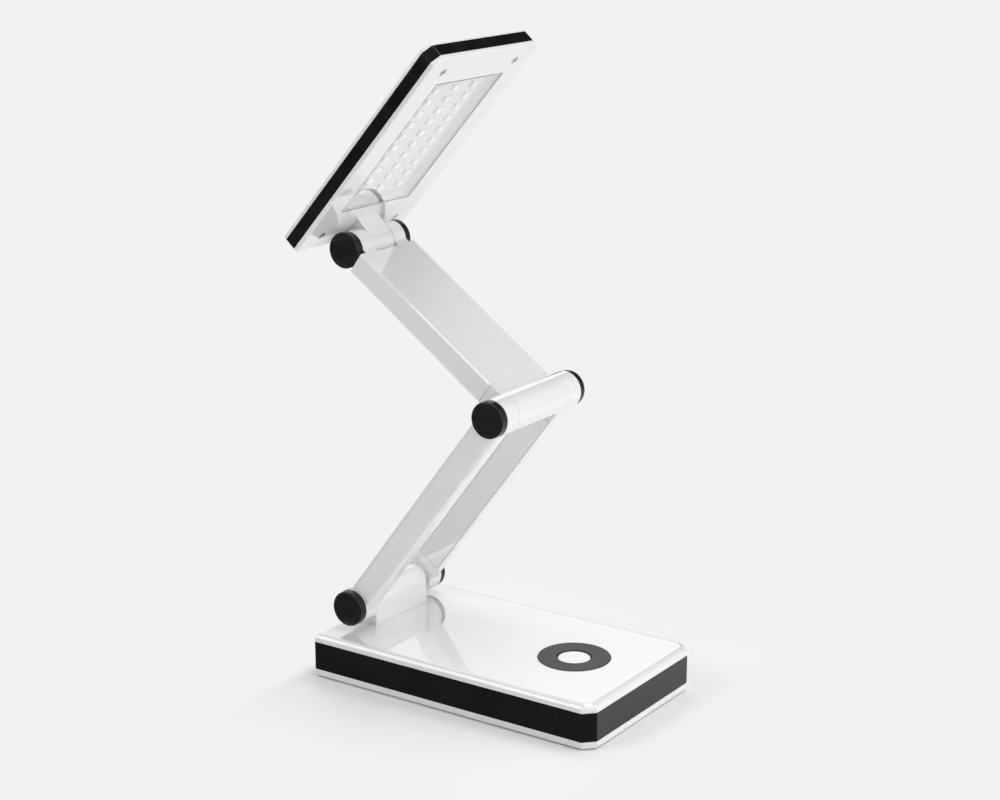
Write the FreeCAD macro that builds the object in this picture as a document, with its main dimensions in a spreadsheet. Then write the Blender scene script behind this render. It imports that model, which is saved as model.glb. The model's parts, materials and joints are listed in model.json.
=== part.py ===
import FreeCAD, Part
import os
import Sketcher

# Fold-flat desk lamp with an LED head: a flat base, a lower arm of two rails, an upper arm that
# nests between the rails, and a thin head. Each arm and the head is drawn lying flat in a frame of
# its own, with its hinge axis on Y at the origin, and is then turned up to the pose on the desk.

driving_sizes = {
    # clearances
    "fit_gap": 0.1,             # round a piece that sits in a pocket
    "turn_gap": 0.05,           # radial, round bolts, screws and spigots
    "side_gap": 0.4,            # between the cheeks of a hinge, filled by a washer
    "nest_gap": 0.4,            # each side of the upper arm between the rails
    # base
    "base_length": 190.0,
    "base_width": 110.0,
    "base_corner": 6.2,
    "pad_length": 150.0,
    "pad_width": 78.0,
    "pad_thickness": 1.5,
    "pad_proud": 0.8,
    "pad_corner": 8.0,
    "plate_thickness": 4.0,
    "plate_round": 0.8,
    "band_height": 16.8,
    "band_wall": 2.6,
    "shell_height": 5.1,
    "shell_round": 3.6,
    "shell_wall": 2.2,
    "boss_radius": 3.6,
    "boss_inset": 11.0,
    "base_screw_radius": 1.5,
    "base_screw_head": 2.8,
    "base_screw_head_height": 1.8,
    "base_screw_sink": 0.4,
    "base_screw_grip": 10.0,
    # switch
    "ring_from_end": 45.8,
    "ring_radius": 20.8,
    "ring_bore": 10.0,
    "ring_thickness": 1.5,
    "ring_proud": 0.5,
    "ring_round": 0.4,
    "collar_wall": 2.0,
    "collar_drop": 6.5,
    "button_radius": 9.55,
    "button_sink": 0.6,
    "button_round": 0.7,
    "button_lip": 1.6,
    "button_lip_height": 1.5,
    "button_rest_gap": 0.2,
    "button_travel": 0.8,
    "switch_width": 6.2,
    "switch_height": 3.6,
    "plunger_radius": 1.75,
    "plunger_height": 1.1,
    "board_length": 56.0,
    "board_width": 44.0,
    "board_thickness": 1.6,
    "board_post_radius": 2.6,
    "board_peg_radius": 1.4,
    "board_post_inset": 4.5,
    # battery and charging inlet
    "battery_length": 66.0,
    "battery_width": 42.0,
    "battery_height": 15.0,
    "battery_round": 3.0,
    "battery_from_centre": 24.0,
    "battery_rib": 1.8,
    "battery_rib_height": 6.0,
    "socket_from_middle": 30.0,
    "socket_width": 10.0,
    "socket_height": 11.0,
    "socket_length": 14.0,
    "socket_snout": 4.4,
    "socket_bore": 3.2,
    "socket_depth": 9.5,
    "socket_pin": 1.0,
    # hinge block on the base
    "axis_inset": 13.9,
    "axis_rise": 13.9,
    "block_thickness": 17.2,
    "block_round": 0.8,
    "tenon_length": 20.0,
    "tenon_thickness": 10.0,
    "block_screw_spread": 17.0,
    "block_screw_depth": 9.0,
    # lower arm
    "lower_length": 163.8,
    "lower_lean": 52.7,
    "arm_width": 73.8,
    "rail_width": 11.4,
    "rail_depth": 17.0,
    "rail_round": 4.5,
    "rail_edge": 0.6,
    "rail_wall": 1.8,
    "rail_cover_thickness": 1.6,
    "rail_cover_depth": 15.4,
    "rail_cover_end": 16.0,
    "cover_ledge": 1.4,
    "hook_length": 8.0,
    "hook_thickness": 1.2,
    "hook_height": 2.5,
    "lead_radius": 0.8,
    "lead_spread": 1.1,
    # upper arm
    "upper_length": 134.9,
    "upper_lean": 144.5,
    "upper_depth": 13.5,
    "upper_round": 1.0,
    "upper_wall": 1.8,
    "relief_length": 16.4,
    "relief_depth": 0.6,
    "fork_reach": 10.5,
    "fork_width": 40.2,
    "knuckle_clearance": 2.8,    # round the knuckle, for the neck of the head as it folds
    "panel_thickness": 1.8,
    "panel_start": 21.0,
    "panel_end": 30.0,
    "panel_width": 41.0,
    "panel_boss_radius": 3.0,
    "panel_screw_inset": 6.5,
    "panel_screw_grip": 6.5,
    # hinges
    "barrel_radius": 10.8,
    "fork_barrel_radius": 10.4,
    "barrel_edge": 0.2,
    "bolt_radius": 2.0,
    "bolt_head_radius": 3.6,
    "bolt_head_height": 2.4,
    "bolt_tail": 0.6,
    "nut_across": 7.0,
    "nut_height": 3.2,
    "counterbore_radius": 7.2,
    "counterbore_depth": 5.0,
    "washer_radius": 9.6,
    "washer_thickness": 0.3,
    "cap_radius": 10.4,
    "cap_thickness": 4.9,
    "cap_round": 0.9,
    "spigot_wall": 1.4,
    "spigot_length": 2.0,
    # head
    "head_length": 151.2,
    "head_width": 96.8,
    "head_corner": 4.8,
    "head_lean": 48.8,
    "head_axis_inset": 8.75,
    "head_axis_drop": 12.0,
    "frame_thickness": 2.65,
    "frame_round": 0.9,
    "head_band_height": 7.3,
    "head_wall": 3.0,
    "back_thickness": 2.3,
    "back_round": 1.6,
    "window_start": 28.6,
    "window_length": 101.7,
    "window_width": 63.2,
    "window_ledge": 1.5,
    "pane_thickness": 1.5,
    "pane_sink": 0.2,
    "tray_wall": 1.2,
    "tray_floor_rise": 2.0,
    "tray_cove": 3.0,
    "led_board_thickness": 0.8,
    "led_board_gap": 3.2,
    "led_rows": 10,
    "led_columns": 3,
    "led_row_pitch": 8.9,
    "led_column_pitch": 17.5,
    "led_length": 5.0,
    "led_width": 5.0,
    "led_height": 1.6,
    "head_screw_low": 10.4,
    "head_screw_far": 11.7,
    "head_screw_spread": 67.8,
    "small_screw_radius": 1.25,
    "small_screw_head": 2.3,
    "small_screw_head_height": 1.1,
    "head_screw_grip": 6.0,
    "head_boss_radius": 3.2,
    "tab_width": 18.8,
    "tab_radius": 10.2,
    "tab_front": 11.25,
    "tab_back": 6.0,
    "tab_round": 0.6,
    "tongue_front": 8.0,
    "tongue_back": 4.0,
    "tongue_width": 13.0,
    "foot_front": 15.0,
    "foot_back": 5.0,
    "foot_width": 34.0,
    "foot_thickness": 2.0,
    "foot_screw_spread": 25.0,
    "foot_screw_forward": 5.0,
}

doc = FreeCAD.newDocument("fold_flat_lamp")
dims = doc.addObject("Spreadsheet::Sheet", "dims")
for row, (alias, value) in enumerate(driving_sizes.items(), 1):
    dims.set(f"A{row}", alias)
    dims.set(f"B{row}", str(value))
    dims.setAlias(f"B{row}", alias)
doc.recompute()

tiny = 1e-4
turns = {
    "x": FreeCAD.Rotation(FreeCAD.Vector(0, 1, 0), 90),
    "y": FreeCAD.Rotation(FreeCAD.Vector(1, 0, 0), -90),
    "-y": FreeCAD.Rotation(FreeCAD.Vector(1, 0, 0), 90),
    "z": FreeCAD.Rotation(),
}
pieces = []


def number(text):
    return float(dims.evalExpression(text))


def put(item, at):
    for axis, text in zip("xyz", at):
        item.setExpression("Placement.Base." + axis, text)
    return item


# A block between two corners.
def box(name, low, high):
    item = doc.addObject("Part::Box", name)
    for side, start, end in zip(("Length", "Width", "Height"), low, high):
        item.setExpression(side, f"({end}) - ({start})")
    return put(item, low)


# A round bar along one axis; across gives its place on the other two axes.
def cylinder(name, axis, radius, start, end, across=("0", "0")):
    item = doc.addObject("Part::Cylinder", name)
    item.Placement = FreeCAD.Placement(FreeCAD.Vector(), turns[axis])
    item.setExpression("Radius", radius)
    item.setExpression("Height", f"({end}) - ({start})")
    at = list(across)
    at.insert("xyz".index(axis), start)
    return put(item, at)


def fuse(name, *items):
    item = doc.addObject("Part::MultiFuse", name)
    item.Shapes = list(items)
    item.Refine = True
    return item


def cut(name, base, *tools):
    item = doc.addObject("Part::Cut", name)
    item.Base = base
    item.Tool = tools[0] if len(tools) == 1 else fuse(name + "_tools", *tools)
    item.Refine = True
    return item


def group(name, *items):
    item = doc.addObject("Part::Compound", name)
    item.Links = list(items)
    return item


# A closed sketch of straight lines, every corner held by the sheet.
def outline(body, plane, corners):
    sketch = body.newObject("Sketcher::SketchObject", body.Name + "_outline")
    support = [feature for feature in body.Origin.OriginFeatures if feature.Role == plane][0]
    sketch.AttachmentSupport = (support, [""])
    sketch.MapMode = "FlatFace"
    points = [FreeCAD.Vector(number(across), number(up), 0) for across, up in corners]
    count = len(points)
    for index in range(count):
        sketch.addGeometry(Part.LineSegment(points[index], points[(index + 1) % count]))
    for index in range(count):
        sketch.addConstraint(Sketcher.Constraint("Coincident", index, 2, (index + 1) % count, 1))
    for index, corner in enumerate(corners):
        for kind, place, text in zip(("DistanceX", "DistanceY"), points[index], corner):
            held = sketch.addConstraint(Sketcher.Constraint(kind, -1, 1, index, 1, place))
            sketch.setExpression(f"Constraints[{held}]", text)
    return sketch


# A flat piece: an outline in plan, raised by its thickness from the height low.
def slab(name, corners, low, thickness):
    body = doc.addObject("PartDesign::Body", name)
    sketch = outline(body, "XY_Plane", corners)
    pad = body.newObject("PartDesign::Pad", name + "_pad")
    pad.Profile = sketch
    pad.setExpression("Length", thickness)
    return put(body, ("0", "0", low))


# A piece of one section across its width, centred on Y.
def section(name, corners, width):
    body = doc.addObject("PartDesign::Body", name)
    sketch = outline(body, "XZ_Plane", corners)
    pad = body.newObject("PartDesign::Pad", name + "_pad")
    pad.Profile = sketch
    pad.SideType = "Symmetric"
    pad.setExpression("Length", width)
    return body


# A turned piece: a half section of radius and height, spun round its own axis.
def turned(name, corners):
    body = doc.addObject("PartDesign::Body", name)
    sketch = outline(body, "XZ_Plane", corners)
    spin = body.newObject("PartDesign::Revolution", name + "_spin")
    spin.Profile = sketch
    spin.ReferenceAxis = (sketch, ["V_Axis"])
    spin.Angle = 360
    return body


def reach(edge, axis):
    extent = edge.BoundBox
    return getattr(extent, axis.upper() + "Min"), getattr(extent, axis.upper() + "Max")


# True for an edge that lies wholly in the plane where axis has the value of text.
def lies_at(edge, axis, text):
    low, high = reach(edge, axis)
    place = number(text)
    return abs(low - place) < tiny and abs(high - place) < tiny


# True for a straight edge along axis.
def runs(edge, axis):
    others = [reach(edge, other) for other in "xyz" if other != axis]
    return all(high - low < tiny for low, high in others)


# Rounds the chosen edges of a body's last feature.
def soften(body, radius, chosen):
    doc.recompute()
    tip = body.Tip
    names = [f"Edge{index}" for index, edge in enumerate(tip.Shape.Edges, 1) if chosen(edge)]
    item = body.newObject("PartDesign::Fillet", tip.Name + "_round")
    item.Base = (tip, names)
    item.setExpression("Radius", radius)
    return body


# Rounds the chosen edges of a block or a joined shape.
def rounded(name, base, *rounds):
    doc.recompute()
    edges = []
    for radius, chosen in rounds:
        size = number(radius)
        edges += [(index, size, size) for index, edge in enumerate(base.Shape.Edges, 1) if chosen(edge)]
    item = doc.addObject("Part::Fillet", name)
    item.Base = base
    item.Edges = edges
    return item


# Low and high ends of a stretch on one side of the middle.
def span(side, near, far):
    return (near, far) if side > 0 else (f"-({far})", f"-({near})")


# The four corners of a rectangle of places.
def corner_places(xs, half):
    return [(x, f"{sign}({half})") for x in xs for sign in ("-", "")]


# A plan with a square hinge end and two cut corners at the free end, drawn in by inset.
def plan(low, high, half, corner, inset="0"):
    left = f"{low} + ({inset})"
    right = f"{high} - ({inset})"
    side = f"{half} - ({inset})"
    clip = f"({corner} - ({inset}) * (2 - sqrt(2)))"
    return [
        (left, f"-({side})"), (f"{right} - {clip}", f"-({side})"), (right, f"-({side}) + {clip}"),
        (right, f"{side} - {clip}"), (f"{right} - {clip}", side), (left, side),
    ]


# Where the hinge axes stand on the desk, and the lean of what turns on them.
block_x = "-dims.base_length / 2 + dims.axis_inset"
base_top = "dims.pad_proud + dims.plate_thickness + dims.band_height + dims.shell_height"
base_axis = (block_x, f"{base_top} + dims.axis_rise")
elbow_axis = (
    f"{base_axis[0]} + dims.lower_length * cos(dims.lower_lean * 1deg)",
    f"{base_axis[1]} + dims.lower_length * sin(dims.lower_lean * 1deg)",
)
head_axis = (
    f"{elbow_axis[0]} + dims.upper_length * cos(dims.upper_lean * 1deg)",
    f"{elbow_axis[1]} + dims.upper_length * sin(dims.upper_lean * 1deg)",
)
frames = {
    "lower_arm": (base_axis, "dims.lower_lean"),
    "upper_arm": (elbow_axis, "dims.upper_lean"),
    "head": (head_axis, "dims.head_lean"),
}


# Names a finished piece and stands it up with the body that carries it.
def piece(label, item, body="base"):
    if body in frames:
        (x, z), lean = frames[body]
        item.Placement = FreeCAD.Placement(FreeCAD.Vector(), FreeCAD.Rotation(FreeCAD.Vector(0, 1, 0), 1))
        item.setExpression("Placement.Base.x", x)
        item.setExpression("Placement.Base.z", z)
        item.setExpression("Placement.Rotation.Angle", f"-{lean} * 1deg")
    item.Label = label
    pieces.append(item)


# Shared stretches across the lamp, measured from the middle.
arm_half = "dims.arm_width / 2"
slot_half = f"({arm_half} - dims.rail_width)"
cheek_half = f"({slot_half} - dims.side_gap)"
upper_half = f"({slot_half} - dims.nest_gap)"
fork_half = "dims.fork_width / 2"
tab_half = "dims.tab_width / 2"
fork_inner = f"({tab_half} + dims.side_gap)"
bolt_hole = "dims.bolt_radius + dims.turn_gap"
small_hole = "dims.small_screw_radius + dims.turn_gap"
small_head_hole = "dims.small_screw_head + dims.fit_gap"

# Base: heights of its layers
plate_low = "dims.pad_proud"
plate_high = f"{plate_low} + dims.plate_thickness"
band_high = f"{plate_high} + dims.band_height"
shell_under = f"{base_top} - dims.shell_wall"
base_ends = ("-dims.base_length / 2", "dims.base_length / 2")
base_half = "dims.base_width / 2"


def base_plan(inset="0"):
    return plan(*base_ends, base_half, "dims.base_corner", inset)


boss_x = "(dims.base_length / 2 - dims.boss_inset)"
boss_places = corner_places((f"-{boss_x}", boss_x), "dims.base_width / 2 - dims.boss_inset")
screw_hole = "dims.base_screw_radius + dims.turn_gap"
screw_floor = f"{plate_low} + dims.base_screw_sink + dims.base_screw_head_height"

# Control board under the button, and the posts that hold it
collar_low = f"{base_top} + dims.ring_proud - dims.ring_thickness - dims.collar_drop"
lip_high = f"{collar_low} - dims.button_rest_gap"
lip_low = f"{lip_high} - dims.button_lip_height"
plunger_high = f"{lip_low} - dims.button_travel - dims.button_rest_gap"
switch_high = f"{plunger_high} - dims.plunger_height"
board_high = f"{switch_high} - dims.switch_height"
board_low = f"{board_high} - dims.board_thickness"
ring_x = "(dims.base_length / 2 - dims.ring_from_end)"
post_half = "(dims.board_length / 2 - dims.board_post_inset)"
post_places = corner_places(
    (f"{ring_x} - {post_half}", f"{ring_x} + {post_half}"), "dims.board_width / 2 - dims.board_post_inset"
)

# Battery, on the plate between two ribs
battery_x = "-dims.battery_from_centre"
battery_low = (f"{battery_x} - dims.battery_length / 2", "-dims.battery_width / 2", plate_high)
battery_high = (
    f"{battery_x} + dims.battery_length / 2", "dims.battery_width / 2", f"{plate_high} + dims.battery_height"
)
rib_inner = "dims.battery_width / 2 + dims.fit_gap"


def bottom_plate():
    blank = slab("plate_blank", base_plan(), plate_low, "dims.plate_thickness")
    soften(blank, "dims.plate_round", lambda edge: lies_at(edge, "z", "0"))
    pad_x = "dims.pad_length / 2 + dims.fit_gap"
    pad_y = "dims.pad_width / 2 + dims.fit_gap"
    recess = box("pad_recess", (f"-({pad_x})", f"-({pad_y})", "0"), (pad_x, pad_y, "dims.pad_thickness"))
    recess = rounded("pad_recess_round", recess, ("dims.pad_corner", lambda edge: runs(edge, "z")))
    holes = [recess]
    for index, at in enumerate(boss_places):
        holes.append(cylinder(f"plate_hole_{index}", "z", screw_hole, plate_low, plate_high, at))
        sink = "dims.base_screw_head + dims.fit_gap"
        holes.append(cylinder(f"plate_sink_{index}", "z", sink, "0", screw_floor, at))
    solids = [cut("plate_cut", blank, *holes)]
    for index, at in enumerate(post_places):
        root = "dims.pad_thickness"
        solids.append(cylinder(f"board_post_{index}", "z", "dims.board_post_radius", root, board_low, at))
        solids.append(cylinder(f"board_peg_{index}", "z", "dims.board_peg_radius", root, board_high, at))
    rib_high = f"{plate_high} + dims.battery_rib_height"
    for word, side in (("front", -1), ("rear", 1)):
        low, high = span(side, rib_inner, f"{rib_inner} + dims.battery_rib")
        ends = (battery_low[0], low, "dims.pad_thickness"), (battery_high[0], high, rib_high)
        solids.append(box(f"battery_rib_{word}", *ends))
    piece("base_bottom_plate", fuse("bottom_plate", *solids))


def foot_pad():
    low = ("-dims.pad_length / 2", "-dims.pad_width / 2", "0")
    blank = box("pad_blank", low, ("dims.pad_length / 2", "dims.pad_width / 2", "dims.pad_thickness"))
    piece("foot_pad", rounded("pad", blank, ("dims.pad_corner", lambda edge: runs(edge, "z"))))


def base_screws():
    screws = []
    for index, at in enumerate(boss_places):
        head_low = f"{plate_low} + dims.base_screw_sink"
        head = cylinder(f"base_screw_head_{index}", "z", "dims.base_screw_head", head_low, screw_floor, at)
        tip = f"{plate_high} + dims.base_screw_grip"
        shank = cylinder(f"base_screw_shank_{index}", "z", "dims.base_screw_radius", screw_floor, tip, at)
        screws.append(fuse(f"base_screw_{index}", head, shank))
    piece("base_screws", group("base_screw_set", *screws))


socket_axis = ("dims.socket_from_middle", f"{plate_high} + dims.band_height / 2")


def base_band():
    blank = slab("band_blank", base_plan(), plate_high, "dims.band_height")
    hollow = slab("band_hollow", base_plan("dims.band_wall"), plate_high, "dims.band_height")
    inlet_end = f"{base_ends[0]} + dims.band_wall"
    snout = "dims.socket_snout + dims.fit_gap"
    inlet = cylinder("band_inlet", "x", snout, base_ends[0], inlet_end, socket_axis)
    piece("base_band", cut("band", blank, hollow, inlet))


block_screw_places = [(block_x, f"{sign}dims.block_screw_spread") for sign in ("-", "")]


def top_shell():
    blank = slab("shell_blank", base_plan(), band_high, "dims.shell_height")
    soften(blank, "dims.shell_round", lambda edge: lies_at(edge, "z", "dims.shell_height"))
    depth = "dims.shell_height - dims.shell_wall"
    hollow = slab("shell_hollow", base_plan("dims.band_wall"), band_high, depth)
    middle = (ring_x, "0")
    seat_low = f"{base_top} + dims.ring_proud - dims.ring_thickness"
    seat = cylinder("ring_seat", "z", "dims.ring_radius + dims.fit_gap", seat_low, base_top, middle)
    collar_hole = "dims.ring_bore + dims.collar_wall + dims.fit_gap"
    hole = cylinder("ring_hole", "z", collar_hole, shell_under, base_top, middle)
    tenon_x = "dims.tenon_thickness / 2 + dims.fit_gap"
    tenon_y = "dims.tenon_length / 2 + dims.fit_gap"
    slot_low = (f"{block_x} - ({tenon_x})", f"-({tenon_y})", shell_under)
    tools = [hollow, seat, hole, box("tenon_slot", slot_low, (f"{block_x} + {tenon_x}", tenon_y, base_top))]
    for index, at in enumerate(block_screw_places):
        tools.append(cylinder(f"block_screw_hole_{index}", "z", screw_hole, shell_under, base_top, at))
    solids = [cut("shell_cut", blank, *tools)]
    for index, at in enumerate(boss_places):
        root = f"{shell_under} + dims.fit_gap"
        post = cylinder(f"boss_{index}", "z", "dims.boss_radius", plate_high, root, at)
        tip = f"{plate_high} + dims.base_screw_grip + dims.fit_gap"
        pilot = cylinder(f"boss_pilot_{index}", "z", screw_hole, plate_high, tip, at)
        solids.append(cut(f"boss_cut_{index}", post, pilot))
    piece("base_top_shell", fuse("shell", *solids))


def hinge_block():
    half = "dims.block_thickness / 2"
    body_low = (f"{block_x} - {half}", f"-{cheek_half}", base_top)
    body = box("block_body", body_low, (f"{block_x} + {half}", cheek_half, base_axis[1]))
    crown = cylinder("block_crown", "y", half, f"-{cheek_half}", cheek_half, base_axis)
    blank = fuse("block_blank", body, crown)
    ends = (f"-{cheek_half}", cheek_half)
    foot = base_top
    soft = rounded("block_soft", blank, (
        "dims.block_round",
        lambda edge: any(lies_at(edge, "y", end) for end in ends) and not lies_at(edge, "z", foot),
    ))
    tenon_half = "dims.tenon_thickness / 2"
    tenon_low = (f"{block_x} - {tenon_half}", "-dims.tenon_length / 2", shell_under)
    tenon_high = (f"{block_x} + {tenon_half}", "dims.tenon_length / 2", f"{base_top} + dims.fit_gap")
    tenoned = fuse("block_tenoned", soft, box("tenon", tenon_low, tenon_high))
    tools = [cylinder("block_bore", "y", bolt_hole, f"-{cheek_half}", cheek_half, base_axis)]
    tip = f"{base_top} + dims.block_screw_depth + dims.fit_gap"
    for index, at in enumerate(block_screw_places):
        tools.append(cylinder(f"block_pilot_{index}", "z", screw_hole, base_top, tip, at))
    piece("hinge_block", cut("block", tenoned, *tools))


def block_screws():
    screws = []
    for index, at in enumerate(block_screw_places):
        head_low = f"{shell_under} - dims.base_screw_head_height"
        head = cylinder(f"block_screw_head_{index}", "z", "dims.base_screw_head", head_low, shell_under, at)
        tip = f"{base_top} + dims.block_screw_depth"
        shank = cylinder(f"block_screw_shank_{index}", "z", "dims.base_screw_radius", shell_under, tip, at)
        screws.append(fuse(f"block_screw_{index}", head, shank))
    piece("block_screws", group("block_screw_set", *screws))


def switch_ring():
    seat = "dims.collar_drop"
    top = "dims.collar_drop + dims.ring_thickness"
    collar = "dims.ring_bore + dims.collar_wall"
    ring = turned("ring", [
        ("dims.ring_bore", "0"), (collar, "0"), (collar, seat), ("dims.ring_radius", seat),
        ("dims.ring_radius", top), ("dims.ring_bore", top),
    ])
    soften(ring, "dims.ring_round", lambda edge: lies_at(edge, "z", top))
    piece("switch_ring", put(ring, (ring_x, "0", collar_low)))


def power_button():
    lip = "dims.button_radius + dims.button_lip"
    top = f"{base_top} + dims.ring_proud - dims.button_sink - ({lip_low})"
    button = turned("button", [
        ("0", "0"), (lip, "0"), (lip, "dims.button_lip_height"),
        ("dims.button_radius", "dims.button_lip_height"), ("dims.button_radius", top), ("0", top),
    ])
    soften(button, "dims.button_round", lambda edge: lies_at(edge, "z", top))
    piece("power_button", put(button, (ring_x, "0", lip_low)))


def control_board():
    low = (f"{ring_x} - dims.board_length / 2", "-dims.board_width / 2", board_low)
    high = (f"{ring_x} + dims.board_length / 2", "dims.board_width / 2", board_high)
    blank = box("board_blank", low, high)
    hole = "dims.board_peg_radius + dims.fit_gap"
    holes = []
    for index, at in enumerate(post_places):
        holes.append(cylinder(f"board_hole_{index}", "z", hole, board_low, board_high, at))
    piece("control_board", cut("board", blank, *holes))


def tact_switch():
    half = "dims.switch_width / 2"
    case_low = (f"{ring_x} - {half}", f"-{half}", board_high)
    case = box("switch_case", case_low, (f"{ring_x} + {half}", half, switch_high))
    plunger = cylinder("plunger", "z", "dims.plunger_radius", switch_high, plunger_high, (ring_x, "0"))
    piece("tact_switch", fuse("switch", case, plunger))


def battery_pack():
    blank = box("battery_blank", battery_low, battery_high)
    piece("battery_pack", rounded("battery", blank, ("dims.battery_round", lambda edge: runs(edge, "x"))))


def charge_socket():
    face = base_ends[0]
    inner = f"{face} + dims.band_wall"
    back = f"{face} + dims.socket_length"
    y, z = socket_axis
    low = (inner, f"{y} - dims.socket_width / 2", f"{z} - dims.socket_height / 2")
    case = box("socket_case", low, (back, f"{y} + dims.socket_width / 2", f"{z} + dims.socket_height / 2"))
    snout = cylinder("socket_snout", "x", "dims.socket_snout", face, inner, socket_axis)
    floor = f"{face} + dims.socket_depth"
    bore = cylinder("socket_bore", "x", "dims.socket_bore", face, floor, socket_axis)
    hollow = cut("socket_hollow", fuse("socket_blank", case, snout), bore)
    pin = cylinder("socket_pin", "x", "dims.socket_pin", f"{face} + dims.band_wall / 2", floor, socket_axis)
    piece("charge_socket", fuse("socket", hollow, pin))


# One rail of the lower arm: a moulded channel with a barrel at each end, and the flush cover that
# closes its inner side.
def rail(word, side):
    name = f"{word}_rail"
    low, high = span(side, slot_half, arm_half)
    half = "dims.rail_depth / 2"
    end = "dims.lower_length"
    bar = box(f"{name}_bar", ("0", low, f"-{half}"), (end, high, half))
    outer, inner = (high, low) if side > 0 else (low, high)
    soft = rounded(
        f"{name}_soft", bar,
        ("dims.rail_round", lambda edge: runs(edge, "x") and lies_at(edge, "y", outer)),
        ("dims.rail_edge", lambda edge: runs(edge, "x") and lies_at(edge, "y", inner)),
    )
    barrels = []
    for index, x in enumerate(("0", end)):
        barrel = cylinder(f"{name}_barrel_{index}", "y", "dims.barrel_radius", low, high, (x, "0"))
        rims = (low, high)
        barrels.append(rounded(f"{name}_barrel_soft_{index}", barrel, (
            "dims.barrel_edge", lambda edge: any(lies_at(edge, "y", rim) for rim in rims),
        )))
    blank = fuse(f"{name}_blank", soft, *barrels)
    cover_half = "dims.rail_cover_depth / 2"
    cover_floor = f"{slot_half} + dims.rail_cover_thickness"
    start, stop = "dims.rail_cover_end", f"{end} - dims.rail_cover_end"
    y_low, y_high = span(side, slot_half, cover_floor)
    tools = [box(f"{name}_rebate", (start, y_low, f"-{cover_half}"), (stop, y_high, cover_half))]
    well_half = f"{cover_half} - dims.cover_ledge"
    well_start, well_stop = f"{start} + dims.cover_ledge", f"{stop} - dims.cover_ledge"
    y_low, y_high = span(side, cover_floor, f"{arm_half} - dims.rail_wall")
    tools.append(box(f"{name}_well", (well_start, y_low, f"-({well_half})"), (well_stop, y_high, well_half)))
    for index, x in enumerate(("0", end)):
        tools.append(cylinder(f"{name}_bore_{index}", "y", bolt_hole, low, high, (x, "0")))
        y_low, y_high = span(side, f"{arm_half} - dims.counterbore_depth", arm_half)
        sink = cylinder(f"{name}_sink_{index}", "y", "dims.counterbore_radius", y_low, y_high, (x, "0"))
        tools.append(sink)
    piece(f"{name}_shell", cut(f"{name}_cut", blank, *tools), "lower_arm")

    gap = "dims.fit_gap"
    y_low, y_high = span(side, slot_half, cover_floor)
    plate_edge = f"({cover_half} - {gap})"
    plate_low_corner = (f"{start} + {gap}", y_low, f"-{plate_edge}")
    solids = [box(f"{name}_cover_plate", plate_low_corner, (f"{stop} - {gap}", y_high, plate_edge))]
    y_low, y_high = span(side, cover_floor, f"{cover_floor} + dims.hook_height")
    hook_high = f"{well_half} - {gap}"
    for index, x in enumerate((f"{well_start} + {gap}", f"{well_stop} - {gap} - dims.hook_length")):
        for word_side, sign in (("low", -1), ("high", 1)):
            z_low, z_high = span(sign, f"{hook_high} - dims.hook_thickness", hook_high)
            hook = f"{name}_hook_{word_side}_{index}"
            solids.append(box(hook, (x, y_low, z_low), (f"{x} + dims.hook_length", y_high, z_high)))
    piece(f"{name}_cover", fuse(f"{name}_cover_hooked", *solids), "lower_arm")


# Two insulated leads lying side by side on a floor, along an arm.
def leads(label, body, start, stop, across_low, across_high):
    wires = []
    for index, across in enumerate((across_low, across_high)):
        wires.append(cylinder(f"{label}_{index}", "x", "dims.lead_radius", start, stop, across))
    piece(label, group(f"{label}_pair", *wires), body)


def lower_leads():
    margin = "dims.rail_cover_end + dims.cover_ledge + dims.fit_gap"
    y = f"-({arm_half} - dims.rail_wall - dims.lead_radius)"
    stop = f"dims.lower_length - ({margin})"
    leads("lower_arm_leads", "lower_arm", margin, stop, (y, "-dims.lead_spread"), (y, "dims.lead_spread"))


# Upper arm: a shallow channel open on its hidden side, a barrel at the elbow and a fork at the head.
upper_side = "dims.upper_depth / 2"
bar_end = "dims.upper_length - dims.fork_reach"
panel_low = f"{upper_side} - dims.panel_thickness"
panel_stop = f"({bar_end} - dims.panel_end + dims.panel_start)"
panel_half = "dims.panel_width / 2"
panel_screw_xs = ("dims.panel_start + dims.panel_screw_inset", f"{panel_stop} - dims.panel_screw_inset")
panel_screw_places = corner_places(panel_screw_xs, f"{panel_half} - dims.panel_screw_inset")


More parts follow.
